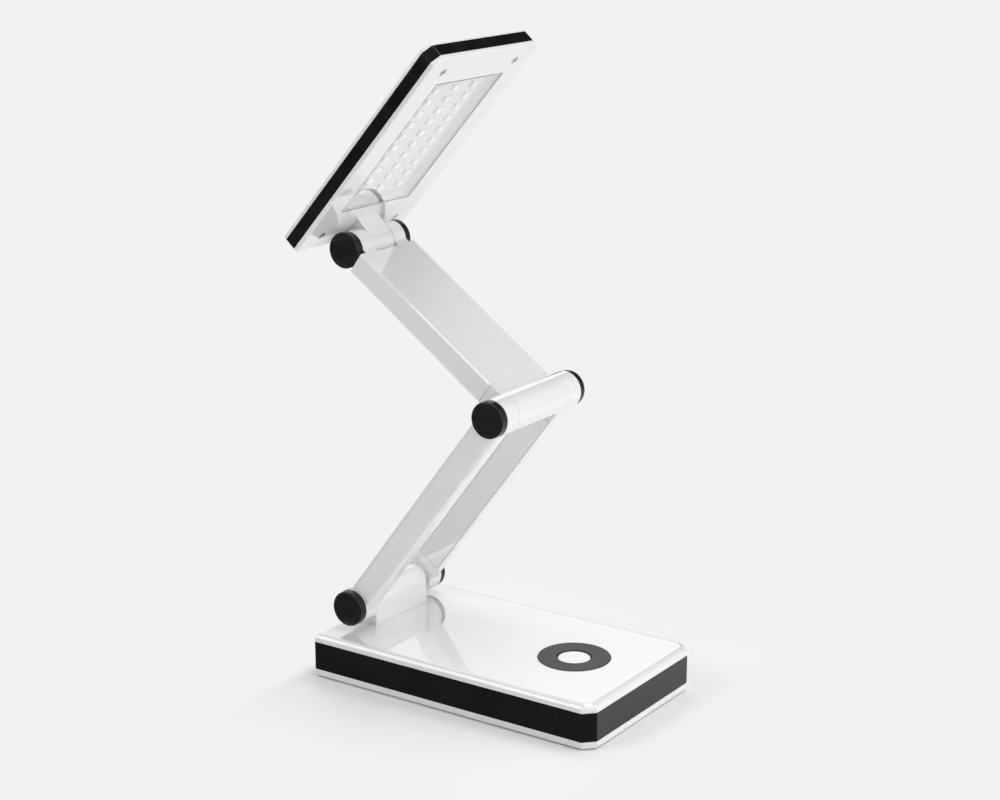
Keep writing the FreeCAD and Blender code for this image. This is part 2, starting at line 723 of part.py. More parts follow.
def upper_arm_shell():
    corner_low = ("dims.relief_length", f"-{upper_half}", f"-{upper_side}")
    bar = box("upper_bar", corner_low, (bar_end, upper_half, upper_side))
    soft = rounded("upper_bar_soft", bar, ("dims.upper_round", lambda edge: runs(edge, "x")))
    neck_half = f"({upper_half} - dims.relief_depth)"
    neck_stop = "dims.relief_length + dims.upper_round"
    neck = box("upper_neck", ("0", f"-{neck_half}", f"-{upper_side}"), (neck_stop, neck_half, upper_side))
    barrel = cylinder("upper_barrel", "y", "dims.barrel_radius", f"-{cheek_half}", cheek_half)
    solids = [soft, neck, barrel]
    end = "dims.upper_length"
    tools = [cylinder("upper_bore", "y", bolt_hole, f"-{cheek_half}", cheek_half)]
    pocket = "dims.tab_radius + dims.knuckle_clearance"
    tools.append(cylinder("knuckle_pocket", "y", pocket, f"-{fork_inner}", fork_inner, (end, "0")))
    for word, side in (("front", -1), ("rear", 1)):
        low, high = span(side, fork_inner, fork_half)
        prong_low = (f"{bar_end} - dims.upper_round", low, f"-{upper_side}")
        solids.append(box(f"fork_{word}", prong_low, (end, high, upper_side)))
        solids.append(cylinder(f"fork_barrel_{word}", "y", "dims.fork_barrel_radius", low, high, (end, "0")))
        tools.append(cylinder(f"fork_bore_{word}", "y", bolt_hole, low, high, (end, "0")))
        low, high = span(side, f"{fork_half} - dims.counterbore_depth", fork_half)
        tools.append(cylinder(f"fork_sink_{word}", "y", "dims.counterbore_radius", low, high, (end, "0")))
    rebate_low = ("dims.panel_start", f"-{panel_half}", panel_low)
    tools.append(box("panel_rebate", rebate_low, (panel_stop, panel_half, upper_side)))
    ledge = "dims.cover_ledge"
    floor = f"-({upper_side} - dims.upper_wall)"
    well_low = (f"dims.panel_start + {ledge}", f"-({panel_half} - {ledge})", floor)
    well = box("upper_well", well_low, (f"{panel_stop} - {ledge}", f"{panel_half} - {ledge}", panel_low))
    posts = []
    for index, at in enumerate(panel_screw_places):
        post = cylinder(f"panel_post_{index}", "z", "dims.panel_boss_radius", floor, panel_low, at)
        tip = f"{panel_low} - dims.panel_screw_grip - dims.fit_gap"
        pilot = cylinder(f"panel_pilot_{index}", "z", small_hole, tip, panel_low, at)
        posts.append(cut(f"panel_post_cut_{index}", post, pilot))
    tools.append(cut("upper_well_posts", well, *posts))
    piece("upper_arm_shell", cut("upper_shell", fuse("upper_blank", *solids), *tools), "upper_arm")


def upper_arm_cover():
    gap = "dims.fit_gap"
    low = (f"dims.panel_start + {gap}", f"-({panel_half} - {gap})", panel_low)
    blank = box("panel_blank", low, (f"{panel_stop} - {gap}", f"{panel_half} - {gap}", upper_side))
    holes = []
    for index, at in enumerate(panel_screw_places):
        holes.append(cylinder(f"panel_hole_{index}", "z", small_hole, panel_low, upper_side, at))
        sink_low = f"{upper_side} - dims.small_screw_head_height - dims.fit_gap"
        holes.append(cylinder(f"panel_sink_{index}", "z", small_head_hole, sink_low, upper_side, at))
    piece("upper_arm_cover", cut("panel", blank, *holes), "upper_arm")


def upper_arm_screws():
    screws = []
    seat = f"{upper_side} - dims.small_screw_head_height - dims.fit_gap"
    for index, at in enumerate(panel_screw_places):
        top = f"{upper_side} - dims.fit_gap"
        head = cylinder(f"panel_screw_head_{index}", "z", "dims.small_screw_head", seat, top, at)
        tip = f"{panel_low} - dims.panel_screw_grip"
        shank = cylinder(f"panel_screw_shank_{index}", "z", "dims.small_screw_radius", tip, seat, at)
        screws.append(fuse(f"panel_screw_{index}", head, shank))
    piece("upper_arm_screws", group("panel_screw_set", *screws), "upper_arm")


def upper_leads():
    margin = "dims.cover_ledge + dims.fit_gap"
    z = f"-({upper_side} - dims.upper_wall - dims.lead_radius)"
    ends = (f"dims.panel_start + {margin}", f"{panel_stop} - ({margin})")
    leads("upper_arm_leads", "upper_arm", *ends, ("-dims.lead_spread", z), ("dims.lead_spread", z))


# The fittings of one hinge: a bolt and nut through both cheeks, a friction washer at each side, and
# a press-in cap over each end.
def hinge_fittings(word, body, x, outer, inner):
    seat = f"{outer} - dims.counterbore_depth"
    at = (x, "0")
    head_end = f"-({seat} + dims.bolt_head_height)"
    head = cylinder(f"{word}_bolt_head", "y", "dims.bolt_head_radius", head_end, f"-({seat})", at)
    tail = f"{seat} + dims.nut_height + dims.bolt_tail"
    shank = cylinder(f"{word}_bolt_shank", "y", "dims.bolt_radius", f"-({seat})", tail, at)
    piece(f"{word}_bolt", fuse(f"{word}_bolt_joined", head, shank), body)

    blank = doc.addObject("Part::Prism", f"{word}_nut_blank")
    blank.Polygon = 6
    blank.Placement = FreeCAD.Placement(FreeCAD.Vector(), turns["y"])
    blank.setExpression("Circumradius", "dims.nut_across / 2 / cos(30deg)")
    blank.setExpression("Height", "dims.nut_height")
    put(blank, (x, seat, "0"))
    hole = cylinder(f"{word}_nut_hole", "y", bolt_hole, seat, f"{seat} + dims.nut_height", at)
    piece(f"{word}_nut", cut(f"{word}_nut_cut", blank, hole), body)

    rings = []
    for place, side in (("front", -1), ("rear", 1)):
        middle = f"{inner} - dims.side_gap / 2"
        half = "dims.washer_thickness / 2"
        low, high = span(side, f"{middle} - {half}", f"{middle} + {half}")
        disc = cylinder(f"{word}_washer_{place}", "y", "dims.washer_radius", low, high, at)
        hole = cylinder(f"{word}_washer_hole_{place}", "y", bolt_hole, low, high, at)
        rings.append(cut(f"{word}_washer_cut_{place}", disc, hole))
    piece(f"{word}_washers", group(f"{word}_washer_pair", *rings), body)

    spigot = "dims.counterbore_radius - dims.turn_gap"
    spigot_inner = f"{spigot} - dims.spigot_wall"
    drop = "-dims.spigot_length"
    for place, axis, face in (("front", "-y", f"-({outer})"), ("rear", "y", outer)):
        cap = turned(f"{word}_cap_{place}_body", [
            ("0", "0"), (spigot_inner, "0"), (spigot_inner, drop), (spigot, drop), (spigot, "0"),
            ("dims.cap_radius", "0"), ("dims.cap_radius", "dims.cap_thickness"), ("0", "dims.cap_thickness"),
        ])
        soften(cap, "dims.cap_round", lambda edge: lies_at(edge, "z", "dims.cap_thickness"))
        cap.Placement = FreeCAD.Placement(FreeCAD.Vector(), turns[axis])
        put(cap, (x, face, "0"))
        piece(f"{word}_cap_{place}", group(f"{word}_cap_{place}_placed", cap), body)


# Head: heights of its layers above the hinge axis, and its places along the length
face_low = "dims.head_axis_drop"
frame_back = f"{face_low} + dims.frame_thickness"
band_back = f"{frame_back} + dims.head_band_height"
head_low = "-dims.head_axis_inset"
head_ends = (head_low, f"{head_low} + dims.head_length")
head_half = "dims.head_width / 2"
window = (f"{head_low} + dims.window_start", f"{head_low} + dims.window_start + dims.window_length")
window_half = "dims.window_width / 2"
pane_low = f"{face_low} + dims.pane_sink"
pane_high = f"{pane_low} + dims.pane_thickness"
ledge_ends = (f"{window[0]} + dims.window_ledge", f"{window[1]} - dims.window_ledge")
ledge_half = f"({window_half} - dims.window_ledge)"
tray_low = f"{frame_back} + dims.turn_gap"
tray_high = f"{band_back} - dims.turn_gap"
tray_floor = f"{tray_high} - dims.tray_floor_rise - dims.tray_wall"
led_board_low = f"{tray_floor} - dims.led_board_thickness"
head_screw_xs = (f"{head_ends[0]} + dims.head_screw_low", f"{head_ends[1]} - dims.head_screw_far")
head_screw_places = corner_places(head_screw_xs, "dims.head_screw_spread / 2")
head_screw_seat = f"{face_low} + dims.small_screw_head_height"
foot_back_face = f"{frame_back} + dims.foot_thickness"
foot_screw_places = [("dims.foot_screw_forward", f"{sign}dims.foot_screw_spread / 2") for sign in ("-", "")]


def head_plan(inset="0"):
    return plan(*head_ends, head_half, "dims.head_corner", inset)


def head_back_cover():
    blank = slab("back_blank", head_plan(), band_back, "dims.back_thickness")
    soften(blank, "dims.back_round", lambda edge: lies_at(edge, "z", "dims.back_thickness"))
    solids = [blank]
    for index, at in enumerate(head_screw_places):
        root = f"{band_back} + dims.fit_gap"
        post = cylinder(f"head_boss_{index}", "z", "dims.head_boss_radius", frame_back, root, at)
        tip = f"{frame_back} + dims.head_screw_grip + dims.fit_gap"
        pilot = cylinder(f"head_pilot_{index}", "z", small_hole, frame_back, tip, at)
        solids.append(cut(f"head_boss_cut_{index}", post, pilot))
    piece("head_back_cover", fuse("back", *solids), "head")


def head_band():
    blank = slab("head_band_blank", head_plan(), frame_back, "dims.head_band_height")
    hollow = slab("head_band_hollow", head_plan("dims.head_wall"), frame_back, "dims.head_band_height")
    piece("head_band", cut("head_band_ring", blank, hollow), "head")


def head_front_frame():
    blank = slab("frame_blank", head_plan(), face_low, "dims.frame_thickness")
    soften(blank, "dims.frame_round", lambda edge: lies_at(edge, "z", "0"))
    rebate_low = (window[0], f"-{window_half}", face_low)
    tools = [box("pane_rebate", rebate_low, (window[1], window_half, pane_high))]
    opening_low = (ledge_ends[0], f"-{ledge_half}", face_low)
    tools.append(box("frame_opening", opening_low, (ledge_ends[1], ledge_half, frame_back)))
    gap = "dims.fit_gap"
    slot_low = (f"-dims.tongue_back - {gap}", f"-dims.tongue_width / 2 - {gap}", face_low)
    slot_high = (f"dims.tongue_front + {gap}", f"dims.tongue_width / 2 + {gap}", frame_back)
    tools.append(box("tongue_slot", slot_low, slot_high))
    for index, at in enumerate(head_screw_places):
        tools.append(cylinder(f"frame_hole_{index}", "z", small_hole, face_low, frame_back, at))
        tools.append(cylinder(f"frame_sink_{index}", "z", small_head_hole, face_low, head_screw_seat, at))
    plate = cut("frame_cut", blank, *tools)
    posts = []
    for index, at in enumerate(foot_screw_places):
        root = f"{frame_back} - dims.fit_gap"
        posts.append(cylinder(f"frame_peg_{index}", "z", "dims.board_peg_radius", root, foot_back_face, at))
    piece("head_front_frame", fuse("front_frame", plate, *posts), "head")


def head_screws():
    screws = []
    for index, at in enumerate(head_screw_places):
        head_top = f"{face_low} + dims.turn_gap"
        seat = head_screw_seat
        head = cylinder(f"head_screw_head_{index}", "z", "dims.small_screw_head", head_top, seat, at)
        tip = f"{frame_back} + dims.head_screw_grip"
        shank = cylinder(f"head_screw_shank_{index}", "z", "dims.small_screw_radius", seat, tip, at)
        screws.append(fuse(f"head_screw_{index}", head, shank))
    piece("head_screws", group("head_screw_set", *screws), "head")


# Where a line from the place x, z meets the round of the knuckle without a corner.
def tangent(x, z, side):
    radius = "dims.tab_radius"
    square = f"(({x})^2 + ({z})^2)"
    leg = f"sqrt({square} - {radius}^2)"
    return (
        f"{radius} * ({radius} * ({x}) + ({side}) * {leg} * ({z})) / {square}",
        f"{radius} * ({radius} * ({z}) - ({side}) * {leg} * ({x})) / {square}",
    )


# The tab that carries the head: a round knuckle, a neck up to the face, a tongue through the frame
# and a foot behind it on two pegs.
def hinge_tab():
    knuckle = cylinder("tab_knuckle", "y", "dims.tab_radius", f"-{tab_half}", tab_half)
    front, back = ("dims.tab_front", face_low), ("-dims.tab_back", face_low)
    neck_corners = [tangent(*back, -1), tangent(*front, 1), front, back]
    neck = section("tab_neck", neck_corners, "dims.tab_width")
    blank = fuse("tab_blank", knuckle, neck)
    cheeks = (f"-{tab_half}", tab_half)
    soft = rounded("tab_soft", blank, (
        "dims.tab_round",
        lambda edge: any(lies_at(edge, "y", cheek) for cheek in cheeks) and not lies_at(edge, "z", face_low),
    ))
    tongue_low = ("-dims.tongue_back", "-dims.tongue_width / 2", f"{face_low} - dims.fit_gap")
    tongue = box("tab_tongue", tongue_low, ("dims.tongue_front", "dims.tongue_width / 2", foot_back_face))
    foot_low = ("-dims.foot_back", "-dims.foot_width / 2", frame_back)
    foot = box("tab_foot", foot_low, ("dims.foot_front", "dims.foot_width / 2", foot_back_face))
    tools = [cylinder("tab_bore", "y", bolt_hole, f"-{tab_half}", tab_half)]
    hole = "dims.board_peg_radius + dims.fit_gap"
    for index, at in enumerate(foot_screw_places):
        tools.append(cylinder(f"tab_peg_hole_{index}", "z", hole, frame_back, foot_back_face, at))
    piece("hinge_tab", cut("tab", fuse("tab_joined", soft, tongue, foot), *tools), "head")


def lens_pane():
    gap = "dims.fit_gap"
    low = (f"{window[0]} + {gap}", f"-({window_half} - {gap})", pane_low)
    pane = box("pane_sheet", low, (f"{window[1]} - {gap}", f"{window_half} - {gap}", pane_high))
    piece("lens_pane", group("pane", pane), "head")


def light_tray():
    wall = "dims.tray_wall"
    low = (f"{ledge_ends[0]} - {wall}", f"-({ledge_half} + {wall})", tray_low)
    blank = box("tray_blank", low, (f"{ledge_ends[1]} + {wall}", f"{ledge_half} + {wall}", tray_high))
    well_low = (ledge_ends[0], f"-{ledge_half}", tray_low)
    well = box("tray_well", well_low, (ledge_ends[1], ledge_half, tray_floor))
    coved = rounded("tray_coved", well, ("dims.tray_cove", lambda edge: lies_at(edge, "z", tray_floor)))
    under_low = (ledge_ends[0], f"-{ledge_half}", f"{tray_floor} + {wall}")
    under = box("tray_under", under_low, (ledge_ends[1], ledge_half, tray_high))
    piece("light_tray", cut("tray", blank, coved, under), "head")


def led_board():
    gap = "dims.led_board_gap"
    low = (f"{ledge_ends[0]} + {gap}", f"-({ledge_half} - {gap})", led_board_low)
    sheet = box("led_sheet", low, (f"{ledge_ends[1]} - {gap}", f"{ledge_half} - {gap}", tray_floor))
    piece("led_board", group("led_plate", sheet), "head")


def led_chips():
    chips = []
    middle = f"({window[0]} + {window[1]}) / 2"
    for row in range(int(number("dims.led_rows"))):
        for column in range(int(number("dims.led_columns"))):
            x = f"{middle} + ({row} - (dims.led_rows - 1) / 2) * dims.led_row_pitch"
            y = f"({column} - (dims.led_columns - 1) / 2) * dims.led_column_pitch"
            face = f"{led_board_low} - dims.led_height"
            low = (f"{x} - dims.led_length / 2", f"{y} - dims.led_width / 2", face)
            high = (f"{x} + dims.led_length / 2", f"{y} + dims.led_width / 2", led_board_low)
            chips.append(box(f"led_{row}_{column}", low, high))
    piece("led_chips", group("led_set", *chips), "head")


foot_pad()
bottom_plate()
base_screws()
base_band()
top_shell()
hinge_block()
block_screws()
switch_ring()
power_button()
control_board()
tact_switch()
battery_pack()
charge_socket()
rail("front", -1)
rail("rear", 1)
lower_leads()
hinge_fittings("base_hinge", "lower_arm", "0", arm_half, slot_half)
hinge_fittings("elbow", "lower_arm", "dims.lower_length", arm_half, slot_half)
upper_arm_shell()
upper_arm_cover()
upper_arm_screws()
upper_leads()
hinge_fittings("head_hinge", "upper_arm", "dims.upper_length", fork_half, fork_inner)
head_back_cover()
head_band()
head_front_frame()
hinge_tab()
lens_pane()
light_tray()
led_board()
led_chips()
head_screws()
doc.recompute()

for item in doc.Objects:
    if "Invalid" in item.State or "Error" in item.State:
        raise RuntimeError(f"{item.Label} did not build: {item.State}")
for item in pieces:
    if item.Shape.isNull() or not item.Shape.isValid() or not item.Shape.Solids:
        raise RuntimeError(f"{item.Label} has no valid solid")

os.makedirs("parts", exist_ok=True)
for item in pieces:
    item.Shape.exportStep(f"parts/{item.Label}.step")
    print(item.Label, len(item.Shape.Solids), round(item.Shape.Volume, 1))
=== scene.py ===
import json
import math

import bmesh
import bpy
from mathutils import Matrix, Quaternion, Vector
from mathutils.bvhtree import BVHTree

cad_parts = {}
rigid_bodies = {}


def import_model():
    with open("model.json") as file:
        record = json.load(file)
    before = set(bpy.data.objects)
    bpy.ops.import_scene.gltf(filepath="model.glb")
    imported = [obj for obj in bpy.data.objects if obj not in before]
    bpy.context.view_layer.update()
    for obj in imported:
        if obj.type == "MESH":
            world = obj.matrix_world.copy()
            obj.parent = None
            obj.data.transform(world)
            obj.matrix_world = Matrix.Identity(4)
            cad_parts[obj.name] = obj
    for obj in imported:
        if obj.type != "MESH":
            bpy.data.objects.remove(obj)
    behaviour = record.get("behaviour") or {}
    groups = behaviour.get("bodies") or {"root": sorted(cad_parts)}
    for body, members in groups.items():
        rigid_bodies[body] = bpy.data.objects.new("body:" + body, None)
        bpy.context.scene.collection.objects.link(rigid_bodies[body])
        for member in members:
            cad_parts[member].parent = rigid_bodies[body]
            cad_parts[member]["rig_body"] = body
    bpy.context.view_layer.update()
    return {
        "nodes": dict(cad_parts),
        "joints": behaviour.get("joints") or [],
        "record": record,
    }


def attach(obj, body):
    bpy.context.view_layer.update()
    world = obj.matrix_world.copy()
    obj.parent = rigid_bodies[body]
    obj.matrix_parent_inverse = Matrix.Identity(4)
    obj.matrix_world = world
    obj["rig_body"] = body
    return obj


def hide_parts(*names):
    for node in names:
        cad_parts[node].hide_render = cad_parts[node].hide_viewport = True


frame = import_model()
mm = 0.001
print("frame loaded")

# each arm is worked on lying flat: x along it from its hinge, y across the lamp, z off its face
hinges = {joint["name"]: Vector(joint["pos_m"]) for joint in frame["joints"] if joint["type"] == "hinge"}
across = Vector((0, 1, 0))


def standing(origin, along):
    xAxis = along.normalized()
    turn = Matrix((xAxis, across, xAxis.cross(across))).transposed()
    return Matrix.Translation(origin) @ turn.to_4x4()


# the direction in which a flat node leans, from its broadest face
def leanOf(node):
    broad = max(frame["nodes"][node].data.polygons, key=lambda face: face.area).normal
    return across.cross(broad if broad.z > 0 else -broad)


places = {
    "base": Matrix(),
    "button": Matrix(),
    "lower_arm": standing(hinges["base_hinge"], hinges["elbow"] - hinges["base_hinge"]),
    "upper_arm": standing(hinges["elbow"], hinges["head_hinge"] - hinges["elbow"]),
    "head": standing(hinges["head_hinge"], leanOf("lens_pane")),
}


def bodyOf(node):
    return frame["nodes"][node]["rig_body"]


# lowest and highest corner of some points
def cornersOf(points):
    low = Vector([min(point[axis] for point in points) for axis in range(3)])
    high = Vector([max(point[axis] for point in points) for axis in range(3)])
    return low, high


# a node's corners in its body's own lying-flat frame
def flatBox(node):
    back = places[bodyOf(node)].inverted()
    return cornersOf([back @ vertex.co for vertex in frame["nodes"][node].data.vertices])


# shader maths: a Wire is one socket, and + - * on it add Math nodes
class Wire:
    def __init__(self, socket):
        self.socket = socket

    # adds any node, with its settings first and then the values or links of its sockets
    def node(self, kind, settings=None, inputs=None, output=0):
        made = self.socket.id_data.nodes.new("ShaderNode" + kind)
        for key, value in (settings or {}).items():
            setattr(made, key, value)
        for key, value in (inputs or {}).items():
            plug(made.inputs[key], value)
        return Wire(made.outputs[output])

    def math(self, operation, first, second=0.0):
        return self.node("Math", {"operation": operation}, {0: first, 1: second})

    def __add__(self, other):
        return self.math("ADD", self, other)

    def __radd__(self, other):
        return self.math("ADD", other, self)

    def __sub__(self, other):
        return self.math("SUBTRACT", self, other)

    def __rsub__(self, other):
        return self.math("SUBTRACT", other, self)

    def __mul__(self, other):
        return self.math("MULTIPLY", self, other)

    def __rmul__(self, other):
        return self.math("MULTIPLY", other, self)

    # 0 below the low level, 1 above the high one, smooth in between
    def between(self, low, high):
        settings = {"interpolation_type": "SMOOTHSTEP"}
        return self.node("MapRange", settings, {"Value": self, "From Min": low, "From Max": high})

    # the wire as a mask between two colours; a colour Mix has its sockets at 0, 6 and 7 and its result at 2
    def mix(self, first, second):
        return self.node("Mix", {"data_type": "RGBA"}, {0: self, 6: first, 7: second}, output=2)

    def noise(self, scale=1.0, detail=2.0, roughness=0.5):
        inputs = {"Vector": self, "Scale": scale, "Detail": detail, "Roughness": roughness}
        return self.node("TexNoise", {}, inputs)

    def stretched(self, scale):
        return self.node("Mapping", {}, {"Vector": self, "Scale": scale})

    def relief(self, strength, distance=0.0001):
        return self.node("Bump", {}, {"Height": self, "Strength": strength, "Distance": distance})


def plug(socket, value):
    if isinstance(value, Wire):
        socket.id_data.links.new(value.socket, socket)
    else:
        socket.default_value = value


def grey(level):
    return (level, level, level, 1.0)


# a new material with its fixed sockets set; returns it, its shader node and the Object coordinates
def newFinish(name, **fixed):
    material = bpy.data.materials.new(name)
    material.use_nodes = True
    tree = material.node_tree
    shader = tree.nodes["Principled BSDF"]
    for key, value in fixed.items():
        shader.inputs[key.replace("_", " ")].default_value = value
    coordinates = tree.nodes.new("ShaderNodeTexCoord")
    return material, shader, Wire(coordinates.outputs["Object"])


# links what changes over the surface
def feed(shader, colour, roughness, normal=None):
    plug(shader.inputs["Base Color"], colour)
    plug(shader.inputs["Roughness"], roughness)
    if normal is not None:
        plug(shader.inputs["Normal"], normal)


# sends a mix of the shader and another one to the material's surface
def mixSurface(material, factor, shader, other):
    both = other.node("MixShader", {}, {0: factor, 1: Wire(shader.outputs[0]), 2: other})
    plug(material.node_tree.nodes["Material Output"].inputs["Surface"], both)


# glossy moulded white: faint flow marks, handling haze and hair-fine scratches in the polish
def whiteShellFinish():
    polish = {"IOR": 1.52, "Coat_Weight": 1.0, "Coat_IOR": 1.75, "Coat_Roughness": 0.01}
    material, shader, place = newFinish("whiteShell", **polish)
    flow = place.noise(scale=22.0, detail=3.0).between(0.3, 0.7)
    haze = place.noise(scale=70.0, detail=4.0, roughness=0.6).between(0.42, 0.75)
    hairs = place.stretched((30.0, 1400.0, 240.0)).noise(detail=1.0).between(0.66, 0.74)
    feed(
        shader, colour=flow.mix((0.80, 0.80, 0.805, 1), (0.825, 0.825, 0.825, 1)),
        roughness=0.05 + haze * 0.04 + hairs * 0.04,
        normal=place.noise(scale=160.0, detail=1.0).relief(strength=0.012, distance=0.0006),
    )
    return material


# polished black: a faint orange peel, with a bloom of handling in the shine
def blackTrimFinish():
    material, shader, place = newFinish("blackTrim", IOR=1.48)
    peel = place.noise(scale=900.0)
    bloom = place.noise(scale=60.0, detail=3.0)
    feed(
        shader, colour=bloom.between(0.3, 0.75).mix(grey(0.004), grey(0.007)),
        roughness=0.12 + bloom.between(0.35, 0.7) * 0.07 + peel * 0.03, normal=peel.relief(strength=0.03),
    )
    return material


# the caps' black: deeper and more satin
def capBlackFinish():
    material, shader, place = newFinish("capBlack", IOR=1.4)
    bloom = place.noise(scale=140.0, detail=3.0)
    feed(
        shader, colour=bloom.between(0.3, 0.75).mix(grey(0.008), grey(0.012)),
        roughness=0.22 + bloom.between(0.35, 0.7) * 0.08,
        normal=place.noise(scale=1400.0).relief(strength=0.05),
    )
    return material


# dark grey disc round the switch, with a fine matt grain
def ringGreyFinish():
    material, shader, place = newFinish("ringGrey", IOR=1.48)
    grain = place.noise(scale=2600.0, detail=3.0, roughness=0.65)
    feed(
        shader, colour=grain.between(0.3, 0.7).mix(grey(0.048), grey(0.062)),
        roughness=0.42 + grain * 0.14, normal=grain.relief(strength=0.14),
    )
    return material


# sheet rubber: dull, with a crumbly moulded surface and some dust
def footRubberFinish():
    material, shader, place = newFinish("footRubber", IOR=1.45)
    crumb = place.noise(scale=1500.0, detail=4.0, roughness=0.7)
    dust = place.noise(scale=60.0, detail=4.0).between(0.5, 0.8)
    feed(
        shader, colour=dust.mix(grey(0.022), grey(0.05)),
        roughness=0.78 + crumb * 0.15, normal=crumb.relief(strength=0.35, distance=0.0002),
    )
    return material


# zinc plated steel: bright with a cloudy passivated bloom
def steelFinish():
    material, shader, place = newFinish("steel", Metallic=1.0)
    cloud = place.noise(scale=500.0, detail=3.0).between(0.3, 0.7)
    turning = place.stretched((300.0, 300.0, 9000.0)).noise()
    feed(
        shader, colour=cloud.mix((0.50, 0.50, 0.51, 1), (0.60, 0.60, 0.60, 1)),
        roughness=0.26 + turning * 0.16, normal=turning.relief(strength=0.12),
    )
    return material


# natural nylon, slightly cloudy
def nylonFinish():
    material, shader, place = newFinish("nylon", IOR=1.52)
    cloud = place.noise(scale=180.0, detail=3.0)
    feed(
        shader, colour=cloud.between(0.3, 0.7).mix((0.79, 0.79, 0.785, 1), (0.83, 0.83, 0.825, 1)),
        roughness=0.38 + cloud * 0.12,
    )
    return material


# clear hard-coated acrylic that lets the lamps' light through
def clearPaneFinish():
    clear = {"IOR": 1.49, "Transmission_Weight": 1.0}
    coat = {"Coat_Weight": 1.0, "Coat_IOR": 2.1, "Coat_Roughness": 0.01}
    material, shader, place = newFinish("clearPane", **clear, **coat)
    smear = place.noise(scale=38.0, detail=4.0, roughness=0.6).between(0.45, 0.8)
    feed(
        shader, colour=smear.mix(grey(1.0), (0.985, 0.988, 0.988, 1)),
        roughness=0.004 + smear * 0.01,
    )
    shadow = place.node("LightPath", output="Is Shadow Ray")
    mixSurface(material, shadow, shader, place.node("BsdfTransparent", {}, {"Color": grey(1.0)}))
    return material


# the pane's sawn and ground edges, with the saw's marks across them; their grey is painted shade, the dark
# line of the shaded rebate round the pane
def sawnEdgeShadeFinish():
    material, shader, place = newFinish("sawnEdgePaintedShade", IOR=1.49)
    marks = place.stretched((1500.0, 1500.0, 300.0)).noise()
    feed(
        shader, colour=marks.mix(grey(0.17), grey(0.27)),
        roughness=0.4 + marks * 0.2, normal=marks.relief(strength=0.2),
    )
    return material


# bright white solder resist, with a faint painted glow that brightens the board behind the pane
def boardWhiteFinish():
    paintedGlow = {"Emission_Color": grey(1.0), "Emission_Strength": 0.11}
    material, shader, place = newFinish("boardWhite", IOR=1.5, **paintedGlow)
    weave = place.noise(scale=900.0)
    resist = place.noise(scale=120.0, detail=3.0).between(0.35, 0.7)
    feed(
        shader, colour=resist.mix((0.92, 0.92, 0.925, 1), (0.95, 0.95, 0.955, 1)),
        roughness=0.32 + weave * 0.12, normal=weave.relief(strength=0.06),
    )
    return material


# the light tray's inside: brighter white than the shells, to throw the light out
def trayWhiteFinish():
    material, shader, place = newFinish("trayWhite", IOR=1.5)
    cloud = place.noise(scale=90.0, detail=3.0)
    feed(
        shader, colour=cloud.between(0.3, 0.7).mix(grey(0.90), grey(0.925)),
        roughness=0.3 + cloud * 0.1, normal=place.noise(scale=1200.0).relief(strength=0.05),
    )
    return material


# the chip's white moulded body
def chipBodyFinish():
    material, shader, place = newFinish("chipBody", IOR=1.5)
    cloud = place.noise(scale=1400.0)
    feed(shader, colour=cloud.mix(grey(0.92), grey(0.96)), roughness=0.3 + cloud * 0.1)
    return material


# pale yellow phosphor gel in the chip's window, with a faint painted glow that brightens the chips
def phosphorFinish():
    gel = {"IOR": 1.42, "Coat_Weight": 0.5, "Coat_Roughness": 0.06}
    paintedGlow = {"Emission_Color": (1.0, 0.97, 0.78, 1.0), "Emission_Strength": 0.45}
    material, shader, place = newFinish("phosphor", **gel, **paintedGlow)
    settled = place.noise(scale=1100.0, detail=3.0)
    feed(
        shader, colour=settled.between(0.3, 0.7).mix((0.99, 0.975, 0.70, 1), (0.99, 0.985, 0.82, 1)),
        roughness=0.2 + settled * 0.2,
    )
    return material


# green solder resist with copper tracks under it
def boardGreenFinish():
    material, shader, place = newFinish("boardGreen", IOR=1.5)
    tracks = place.stretched((260.0, 900.0, 1.0)).noise(detail=0.0).between(0.5, 0.54)
    grain = place.noise(scale=1200.0)
    feed(
        shader, colour=tracks.mix((0.018, 0.10, 0.035, 1), (0.035, 0.18, 0.06, 1)),
        roughness=0.28 + grain * 0.12, normal=tracks.relief(strength=0.3),
    )
    return material


# black nylon of the inlet and the switch, with a fine moulded grain
def socketBlackFinish():
    material, shader, place = newFinish("socketBlack", IOR=1.5)
    grain = place.noise(scale=2200.0, detail=3.0, roughness=0.6)
    feed(
        shader, colour=grain.mix(grey(0.012), grey(0.022)),
        roughness=0.42 + grain * 0.18, normal=grain.relief(strength=0.15),
    )
    return material


# shrink sleeve of the battery, with soft wrinkles
def batteryWrapFinish():
    material, shader, place = newFinish("batteryWrap", IOR=1.5)
    wrinkle = place.stretched((60.0, 260.0, 260.0)).noise(detail=3.0)
    feed(
        shader, colour=wrinkle.mix((0.03, 0.08, 0.22, 1), (0.05, 0.12, 0.30, 1)),
        roughness=0.22 + wrinkle * 0.16, normal=wrinkle.relief(strength=0.25, distance=0.0005),
    )
    return material


# PVC lead sleeve
def leadSleeveFinish():
    material, shader, place = newFinish("leadSleeve", IOR=1.5)
    scuff = place.noise(scale=700.0, detail=3.0)
    feed(shader, colour=scuff.mix((0.38, 0.02, 0.02, 1), (0.5, 0.03, 0.03, 1)), roughness=0.4 + scuff * 0.15)
    return material


finishes = {
    "white_shell": whiteShellFinish(),
    "black_trim": blackTrimFinish(),
    "ring_grey": ringGreyFinish(),
    "foot_rubber": footRubberFinish(),
    "steel": steelFinish(),
    "washer_nylon": nylonFinish(),
    "clear_pane": clearPaneFinish(),
    "board_white": boardWhiteFinish(),
    "led_phosphor": phosphorFinish(),
    "board_green": boardGreenFinish(),
    "socket_black": socketBlackFinish(),
    "battery_wrap": batteryWrapFinish(),
    "lead_sleeve": leadSleeveFinish(),
}
slots = {part["node"]: part["material_slot"] for part in frame["record"]["subparts"]}
print("finishes made:", len(finishes))


weldDistance = 0.001 * mm
smoothAngle = math.radians(32)


